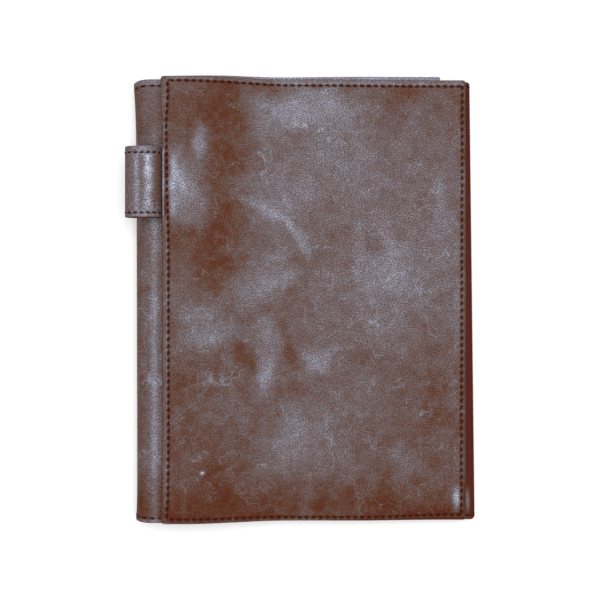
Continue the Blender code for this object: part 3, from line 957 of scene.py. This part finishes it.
def lining_sheet(face, seed):
    """A lining whose outer face is at face(u), with rounded corners and edges at the fore edge.

    Its sheet is said to start before the roll, which keeps the joined corners square.
    """
    low, high = (CREST_U - 8.0, -LINING_HALF), (LINING_END, LINING_HALF)

    def surface(u, y, outer):
        at_u, at_y, distance = rounded_sheet(u, y, low, high, LINING_CORNER)
        drop = edge_drop(distance, LINING_RADIUS)
        z = face(at_u) - drop if outer else face(at_u) - LINING + drop
        place = stack(at_u, at_y, seed if outer else seed + 60.0)
        return stack(at_u, at_y, z), place, 0.1, burnish(distance, 0.1, 0.5)
    return surface


def back_lining_face(u):
    return np.full(np.shape(u), LINING_INSET + LINING)


def build_linings(lining):
    rows = spread(CREST_U, LINING_FINE_FROM, 3.0)[:-1]
    rows += spread(LINING_FINE_FROM, LINING_END - LINING_RADIUS, 0.8)[:-1]
    rows += [LINING_END - d for d in reversed(round_steps(LINING_RADIUS))]
    columns = edged_lines(-LINING_HALF, LINING_HALF, 6.0, 3.0, 0.8, LINING_RADIUS)
    for side, face, seed in (("back", back_lining_face, 240.0), ("front", lining_face, 280.0)):
        shape = slab(np.array(rows), columns, lining_sheet(face, seed))
        add_piece(f"{side}_cover_lining", shape, lining, [f"{side}_lining"], f"{side}_cover")


LEAF_SKEW = math.radians(0.5)
LEAF_THICKNESS = 0.9
LEAF_RADIUS = 0.3
LEAF_CORNER = 0.9
LEAF_BOX = LEAF_HIGH - LEAF_LOW
LEAF_LENGTH = LEAF_BOX[0] - math.sin(LEAF_SKEW) * LEAF_BOX[1]
LEAF_HEIGHT = LEAF_BOX[1] - math.sin(LEAF_SKEW) * LEAF_LENGTH


def leaf_tone(u, y):
    tone = 0.44 + mottle(u, y, 61, (0.22, 26.0), (0.12, 9.0))
    # Paler along the top: a painted sheen where the leaf shows above the panel
    return tone + 0.55 * (1 - smooth((-y - 2.0) / 9.0))


def leaf_surface(u, y, outer):
    """The loose leaf, turned slightly about its top right corner, from where u and y run."""
    at_u, at_y, distance = rounded_sheet(u, y, (-LEAF_LENGTH, -LEAF_HEIGHT), (0.0, 0.0), LEAF_CORNER)
    sine, cosine = math.sin(LEAF_SKEW), math.cos(LEAF_SKEW)
    turned_u = LEAF_HIGH[0] - sine * LEAF_HEIGHT + at_u * cosine - at_y * sine
    turned_y = LEAF_HIGH[1] + at_u * sine + at_y * cosine
    drop = edge_drop(distance, LEAF_RADIUS)
    face = lining_face(turned_u) - LINING - GAP
    z = face - drop if outer else face - LEAF_THICKNESS + drop
    side = 340.0 if outer else 400.0
    edge = 0.5 * burnish(distance, 0.1, 0.5)
    return stack(turned_u, turned_y, z), stack(at_u, at_y, side), leaf_tone(at_u + side, at_y), edge


def build_leaf(leather):
    rows = edged_lines(-LEAF_LENGTH, 0.0, 1.6, 2.0, 0.6, LEAF_RADIUS)
    columns = edged_lines(-LEAF_HEIGHT, 0.0, 2.0, 2.0, 0.6, LEAF_RADIUS)
    add_piece("inside_leaf", slab(rows, columns, leaf_surface), leather, ["insert_leaf"], "leaf")


# The pen loop

LOOP_RADIUS = (LOOP_HIGH[2] - LOOP_LOW[2]) / 2
LOOP_MIDDLE_Z = LOOP_LOW[2] + LOOP_RADIUS
LOOP_LEFT_U = LOOP_LOW[0] + LOOP_RADIUS
LOOP_RIGHT_U = -GAP - LOOP_RADIUS
LOOP_END_ANGLE = -40.0
LOOP_TOP_ROW = 3.2
LOOP_BOTTOM_ROW = 2.1
LOOP_CREST_U = -5.0
LOOP_STITCH_PITCH = 3.15
LOOP_STITCH_LENGTH = 2.3
LOOP_STITCH_SINK = 0.22
LOOP_THREAD = 0.66
LOOP_LEAN = math.radians(14)
LOOP_ARC_STEPS = 26


def loop_outline(depth, from_u, end_angle, steps):
    """Points of the strap's face, or of a layer under it, from its lower end around to its upper."""
    def arc(middle_u, start, end):
        turn = np.radians(np.linspace(start, end, steps))
        out = np.stack([np.cos(turn), np.sin(turn)], -1)
        return np.concatenate([[middle_u, LOOP_MIDDLE_Z] + LOOP_RADIUS * out, out], -1)

    def level(lines, z, out):
        return [(u, z, 0.0, out) for u in lines]

    points = np.concatenate([
        level(spread(from_u, LOOP_LEFT_U, 1.4)[:-1], LOOP_LOW[2], -1.0),
        arc(LOOP_LEFT_U, -90, -270),
        level(spread(LOOP_LEFT_U, LOOP_RIGHT_U, 0.45)[1:-1], LOOP_HIGH[2], 1.0),
        arc(LOOP_RIGHT_U, 90, end_angle),
    ])
    return loop_sag(points[:, :2] - points[:, 2:] * depth)


def loop_sag(points):
    """The upper side slopes down to the left of its crest, with one soft ripple."""
    u, z = points[:, 0], points[:, 1]
    above = np.clip((z - LOOP_MIDDLE_Z) / LOOP_RADIUS, 0.0, 1.0)
    left = np.clip(LOOP_CREST_U - u, 0.0, None)
    fall = 0.010 * left ** 2 + 0.02 * left
    ripple = 0.10 * np.cos(2 * math.pi * (u - LOOP_CREST_U) / 3.5) * bell(u + 7.0, 3.2)
    return np.stack([u, z - above * (fall - ripple)], -1)


def loop_lines(outline):
    steps = np.linalg.norm(np.diff(outline, axis=0), axis=1)
    return np.concatenate([[0.0], np.cumsum(steps)])


def loop_looks(u, z, y, stitch):
    """Furrow depth and tone of the strap's face: painted highlights in two bands along its crest, a
    painted sheen on the margins outside the rows and painted shade in the rows' furrows.
    """
    top = y - LOOP_HALF + LOOP_TOP_ROW
    bottom = y + LOOP_HALF - LOOP_BOTTOM_ROW
    above = smooth((z - LOOP_MIDDLE_Z + 1.0) / 1.5)
    depth, _, furrow_shade = end_rows(top, bottom, stitch, above)
    between = smooth((-top - 0.4) / 2) * smooth((bottom - 0.4) / 2)
    wander = 0.5 * soft_noise(u, y, 9.0, 52)
    patchy = 1.0 + mottle(u, y, 53, (0.35, 3.0), (0.25, 1.3))
    bright = 1.15 * bell(u + 5.7 + wander, 2.1) + 0.50 * bell(u + 11.3 + wander, 1.35)
    tone = 0.08 + between * above * bright * patchy + 0.32 * bell(u + 12.5, 5.0)
    return depth, tone + 0.60 * (1 - between) * above * bell(u + 7.0, 5.0) - 0.9 * furrow_shade


def loop_surface(outline, inner_outline, thickness, plain):
    """Strap surface for slab(): rows are numbers of outline points."""
    along = loop_lines(outline)

    def surface(row, y, outer):
        index = row.astype(int)
        distance = LOOP_HALF - np.abs(y)
        share = edge_drop(distance, thickness * 0.42) / thickness
        edge = burnish(distance, 0.1, 0.45)
        tone = 0.05
        if outer and not plain:
            stitch = (along[index] - along[-1]) / LOOP_STITCH_PITCH
            dent, tone = loop_looks(outline[index, 0], outline[index, 1], y, stitch)
            share = share + dent / thickness
            edge = edge * 0.45
        share = (share if outer else 1 - share)[..., None]
        flat = outline[index] * (1 - share) + inner_outline[index] * share
        place = stack(along[index], y, 500.0 if outer else 530.0)
        return stack(flat[..., 0], LOOP_Y + y, flat[..., 1]), place, tone, edge
    return surface


def loop_layer(depth, thickness, outline_rest, column_rest, plain):
    """One layer of the pen loop, at this depth in from the strap's face."""
    outline = loop_outline(depth, *outline_rest)
    inner = loop_outline(depth + thickness, *outline_rest)
    rows = np.arange(len(outline)).astype(float)
    columns = edged_lines(-LOOP_HALF, LOOP_HALF, *column_rest, thickness * 0.42)
    return slab(rows, columns, loop_surface(outline, inner, thickness, plain))


def build_pen_loop(leather, lining):
    outline_rest = (LOOP_TAIL, LOOP_END_ANGLE, LOOP_ARC_STEPS)
    shape = loop_layer(0.0, LOOP_LEATHER, outline_rest, (0.7, 4.5, 0.32), False)
    add_piece("pen_loop_strap", shape, leather, ["pen_loop_band"], "front_cover")
    outline_rest = (LOOP_RIGHT_U + 1.0, LOOP_END_ANGLE - 5, 20)
    shape = loop_layer(LOOP_LEATHER + GAP, LOOP_LINING, outline_rest, (3.0, 2.0, 0.8), True)
    add_piece("pen_loop_inside", shape, lining, ["pen_loop_lining"], "front_cover")


def build_loop_stitches(thread):
    outline = loop_outline(0.0, LOOP_TAIL, LOOP_END_ANGLE, LOOP_ARC_STEPS)
    along = loop_lines(outline)
    sizes = (LOOP_STITCH_LENGTH, LOOP_THREAD)
    row_offsets = (LOOP_HALF - LOOP_TOP_ROW, LOOP_BOTTOM_ROW - LOOP_HALF)
    for (end, word), offset in zip(ENDS, row_offsets):
        def path(at, y=LOOP_Y + offset):
            return stack(np.interp(at, along, outline[:, 0]), y, np.interp(at, along, outline[:, 1]))

        shape = Shape()
        count = 0
        at = along[-1] - 0.5 * LOOP_STITCH_PITCH
        while count <= 3 or path(at)[2] >= LOOP_MIDDLE_Z - 0.5:
            stitch_around(shape, path, at, 0.2, 1, LOOP_LEAN * end, *sizes, count, LOOP_STITCH_SINK)
            count += 1
            at -= LOOP_STITCH_PITCH
        name, node = f"pen_loop_stitches_{word}", f"pen_loop_thread_{word}"
        add_piece(name, shape, thread, [node], "front_cover")


# Materials

def linear(red, green, blue):
    """A colour given as 0 to 255 sRGB values, as linear RGBA."""
    def convert(value):
        value = value / 255
        return value / 12.92 if value <= 0.04045 else ((value + 0.055) / 1.055) ** 2.4
    return (convert(red), convert(green), convert(blue), 1.0)


class Graph:
    """A material's node tree, with short ways to add and link nodes."""

    def __init__(self, name):
        self.material = bpy.data.materials.new(name)
        self.material.use_nodes = True
        self.tree = self.material.node_tree

    def add(self, kind, inputs, output=0, **settings):
        node = self.tree.nodes.new(f"ShaderNode{kind}")
        for key, value in settings.items():
            setattr(node, key, value)
        self.put(node, inputs)
        return node.outputs[output]

    def put(self, node, inputs):
        """Links a node's input to an output, or sets a plain value on the socket itself."""
        for key, value in inputs.items():
            if isinstance(value, bpy.types.NodeSocket):
                self.tree.links.new(value, node.inputs[key])
            else:
                node.inputs[key].default_value = value

    def shade(self, colour, roughness, specular, **rest):
        inputs = {"Base Color": colour, "Roughness": roughness, "Specular IOR Level": specular}
        self.put(self.tree.nodes["Principled BSDF"], inputs | rest)
        return self.material

    def maths(self, operation, first, second):
        return self.add("Math", {0: first, 1: second}, operation=operation)

    def times(self, first, second):
        return self.maths("MULTIPLY", first, second)

    def plus(self, *values):
        total = values[0]
        for value in values[1:]:
            total = self.maths("ADD", total, value)
        return total

    def value(self, name, output=2):
        return self.add("Attribute", {}, output, attribute_name=name)

    def place(self):
        return self.value("place", 1)

    def noise(self, vector, scale, detail=2.0, roughness=0.5, distortion=0.0, output=0):
        inputs = {"Vector": vector, "Scale": scale, "Detail": detail}
        inputs |= {"Roughness": roughness, "Distortion": distortion}
        return self.add("TexNoise", inputs, output)

    def stretch(self, vector, scale, rotation):
        turn = (0, 0, math.radians(rotation))
        return self.add("Mapping", {"Vector": vector, "Scale": scale, "Rotation": turn})

    def remap(self, value, low, high, to_low=0.0, to_high=1.0):
        return self.add("MapRange", {0: value, 1: low, 2: high, 3: to_low, 4: to_high})

    def ramp(self, value, stops):
        colours = self.add("ValToRGB", {"Fac": value})
        elements = colours.node.color_ramp.elements
        while len(elements) < len(stops):
            elements.new(0.5)
        for element, (position, colour) in zip(elements, stops):
            element.position = position
            element.color = colour
        return colours

    def mix(self, share, first, second):
        inputs = {"Factor": share, "A": first, "B": second}
        return self.add("Mix", inputs, 2, data_type="RGBA")

    def bump(self, height, strength, distance, **rest):
        return self.add("Bump", {"Height": height, "Strength": strength, "Distance": distance} | rest)


TONE_LOW, TONE_HIGH = -0.9, 1.7
LIT = 1.12
GLOSS = 0.013
DARKEST = 0.0028


def lit_colour(red, green, blue):
    """The base colour that looks like this sRGB colour under the studio light, gloss included."""
    seen = linear(red, green, blue)[:3]
    return (*(max((value - GLOSS) / LIT, DARKEST) for value in seen), 1.0)


def tone_stop(tone, *colour):
    return ((tone - TONE_LOW) / (TONE_HIGH - TONE_LOW), lit_colour(*colour))


# Colours along the tone: the pale bluish top stops carry wax bloom and painted highlights and sheen,
# the deep red-brown low stops mostly painted shade
LEATHER_COLOURS = (
    tone_stop(-0.9, 80, 36, 24),
    tone_stop(-0.5, 87, 40, 28),
    tone_stop(-0.2, 89, 49, 30),
    tone_stop(0.0, 95, 65, 53),
    tone_stop(0.5, 110, 100, 103),
    tone_stop(1.0, 136, 134, 147),
    tone_stop(1.6, 182, 183, 200),
)


# Tones that the grain's strength runs between, and its darkest multiple of the colour
GRAIN_TONES = (-0.3, 1.1)
DARKEST_PEBBLE = 0.25
BURNISHED = lit_colour(84, 58, 46)
HAIRLINE_TONE = 0.22
CURL_TONE = 0.38
CURL_REACH = 26.0


def scratches(graph, place):
    """Thin pale marks: short straight hairlines in three directions and a few curled ones."""
    total = 0.0
    for turn, across in ((24, 3), (-38, 4), (71, 5)):
        lines = graph.stretch(place, (0.020, 1.3, 1.0), turn)
        hair = graph.remap(graph.noise(lines, 1.0 + across * 0.13, 1.0), 0.64, 0.72)
        patchy = graph.remap(graph.noise(place, 0.045 + across * 0.006, 1.0), 0.5, 0.62)
        total = graph.plus(total, graph.times(graph.times(hair, patchy), HAIRLINE_TONE))
    for scale, seed in ((0.050, 11.0), (0.085, 47.0)):
        bend = graph.noise(place, scale * 1.9, 1.0, output=1)
        reach = (CURL_REACH, CURL_REACH, seed)
        moved = graph.add("VectorMath", {0: bend, 1: reach, 2: place}, operation="MULTIPLY_ADD")
        crack = graph.add("TexVoronoi", {"Vector": moved, "Scale": scale}, feature="DISTANCE_TO_EDGE")
        line = graph.remap(crack, 0.40 * scale, 0.08 * scale)
        kept = graph.remap(graph.noise(place, scale * 1.3, 1.0), 0.56, 0.62)
        total = graph.plus(total, graph.times(graph.times(line, kept), CURL_TONE))
    return total


def leather_colour(graph, place, fine, wax):
    """Bloom, painted highlights, painted sheen and painted shade over brown, from the tone, with fine
    grain, faint scratches and burnished edges.
    """
    tone = graph.value("tone")
    grain = graph.maths("SUBTRACT", fine, 0.5)
    uneven = graph.maths("SUBTRACT", graph.noise(place, 0.42, 3.0, 0.6, 0.3), 0.5)
    broken = graph.times(grain, graph.remap(tone, *GRAIN_TONES, 0.8, 2.7))
    total = graph.plus(tone, broken, graph.times(uneven, wax), scratches(graph, place))
    colour = graph.ramp(graph.remap(total, TONE_LOW, TONE_HIGH), LEATHER_COLOURS)
    pebble = graph.times(grain, graph.remap(tone, *GRAIN_TONES, 2.3, 4.3))
    pebble = graph.maths("MAXIMUM", graph.plus(pebble, 1.0), DARKEST_PEBBLE)
    colour = graph.add("VectorMath", {0: colour, 1: pebble}, operation="MULTIPLY")
    worn = graph.remap(graph.noise(place, 0.5, 3.0), 0.35, 0.7, 0.55, 1.0)
    return graph.mix(graph.times(graph.value("edge"), worn), colour, BURNISHED)


def make_leather(name, wax):
    """Waxed full-grain leather, with wax of this unevenness."""
    graph = Graph(name)
    place = graph.place()
    fine = graph.noise(place, 1.5, 3.0, 0.8)
    colour = leather_colour(graph, place, fine, wax)
    rough = graph.remap(graph.noise(place, 0.9, 3.0), 0.3, 0.7, 0.44, 0.60)
    cells = graph.add("TexVoronoi", {"Vector": place, "Scale": 1.5}, feature="F1")
    height = graph.plus(graph.times(cells, 0.55), fine)
    normal = graph.bump(height, 0.42, 0.00007)
    normal = graph.bump(graph.noise(place, 0.16, 2.0), 0.35, 0.0005, Normal=normal)
    return graph.shade(colour, rough, 0.10, Normal=normal)


def make_lining(name, dark, light, edge_colour):
    """Matt leather with a short fibrous nap."""
    graph = Graph(name)
    place = graph.place()
    fibre = graph.noise(graph.stretch(place, (0.5, 1.6, 1.0), 12), 1.6, 4.0, 0.7)
    share = graph.times(graph.plus(fibre, graph.noise(place, 0.07, 3.0)), 0.5)
    colour = graph.ramp(graph.remap(share, 0.36, 0.64), ((0.0, dark), (1.0, light)))
    colour = graph.mix(graph.times(graph.value("edge"), 0.7), colour, edge_colour)
    rough = graph.remap(fibre, 0.3, 0.7, 0.72, 0.9)
    return graph.shade(colour, rough, 0.3, Normal=graph.bump(fibre, 0.5, 0.00008))


def make_thread():
    """Dark waxed thread with its twist."""
    graph = Graph("waxed_thread_looks")
    place = graph.place()
    inputs = {"Vector": graph.stretch(place, (2.6, 3.4, 1.0), 35), "Scale": 0.9}
    wave = graph.add("TexWave", inputs | {"Distortion": 0.6, "Detail": 1.0}, 1)
    fuzz = graph.noise(place, 5.0, 2.0)
    share = graph.times(graph.plus(wave, fuzz), 0.5)
    colour = graph.ramp(share, ((0.2, linear(14, 3, 4)), (0.8, linear(46, 12, 10))))
    rough = graph.remap(fuzz, 0.3, 0.7, 0.45, 0.65)
    return graph.shade(colour, rough, 0.18, Normal=graph.bump(wave, 0.5, 0.00008))


# The stage

WORLD_LIGHT = 0.60
OVERHEAD_POWER = 10.5
OVERHEAD_SIZE = 0.9
OVERHEAD_PLACE = (0.03, 0.10, 1.10)
FLOOR_HALF = 2.0
FLOOR_LEVEL = -0.0002


def build_floor():
    signs = ((-1, -1), (1, -1), (1, 1), (-1, 1))
    corners = [(x * FLOOR_HALF, y * FLOOR_HALF, FLOOR_LEVEL) for x, y in signs]
    mesh = bpy.data.meshes.new("floor")
    mesh.from_pydata(corners, [], [(0, 1, 2, 3)])
    floor = add_object("floor", mesh)
    floor.data.materials.append(Graph("floor_paper").shade((0.93, 0.93, 0.93, 1.0), 1.0, 0.0))


def build_light():
    """A large square lamp overhead, aimed at the middle of the cover."""
    data = bpy.data.lights.new("overhead", "AREA")
    data.shape = "SQUARE"
    data.size = OVERHEAD_SIZE
    data.energy = OVERHEAD_POWER
    lamp = add_object("overhead", data)
    lamp.location = OVERHEAD_PLACE
    lamp.rotation_euler = (-Vector(OVERHEAD_PLACE)).to_track_quat("-Z", "Y").to_euler()


def build_stage():
    build_floor()
    world = bpy.data.worlds.new("studio")
    bpy.context.scene.world = world
    world.use_nodes = True
    background = world.node_tree.nodes["Background"]
    background.inputs["Color"].default_value = (1.0, 1.0, 1.0, 1.0)
    background.inputs["Strength"].default_value = WORLD_LIGHT
    build_light()
    bpy.context.scene.view_settings.view_transform = "Standard"


def build_camera():
    data = bpy.data.cameras.new("camera")
    data.sensor_width = SENSOR
    data.lens = SENSOR * (CAMERA_HEIGHT - VIEW_PLANE) / VIEW_WIDTH
    data.clip_start = 0.01
    camera = add_object("camera", data)
    camera.location = (np.array([CAMERA_U, 0.0, CAMERA_HEIGHT]) + ORIGIN) * MM
    bpy.context.scene.camera = camera


def main():
    leather = (make_leather("waxed_cover_leather", 0.45), "cover_leather")
    browns = (linear(92, 60, 45), linear(116, 80, 61), linear(70, 44, 34))
    lining = (make_lining("lining_leather_looks", *browns), "lining_leather")
    leaf = (make_leather("leaf_leather_looks", 0.35), "leaf_leather")
    thread = (make_thread(), "waxed_thread")
    build_camera()
    build_stage()
    build_front_panel(leather)
    build_panel_stitches(thread)
    build_roll(leather, lining)
    build_tab(leather)
    build_roll_stitches(thread)
    build_back(leather)
    build_back_stitches(thread)
    build_linings(lining)
    build_leaf(leaf)
    build_pen_loop(leather, lining)
    build_loop_stitches(thread)


main()

bpy.context.view_layer.update()
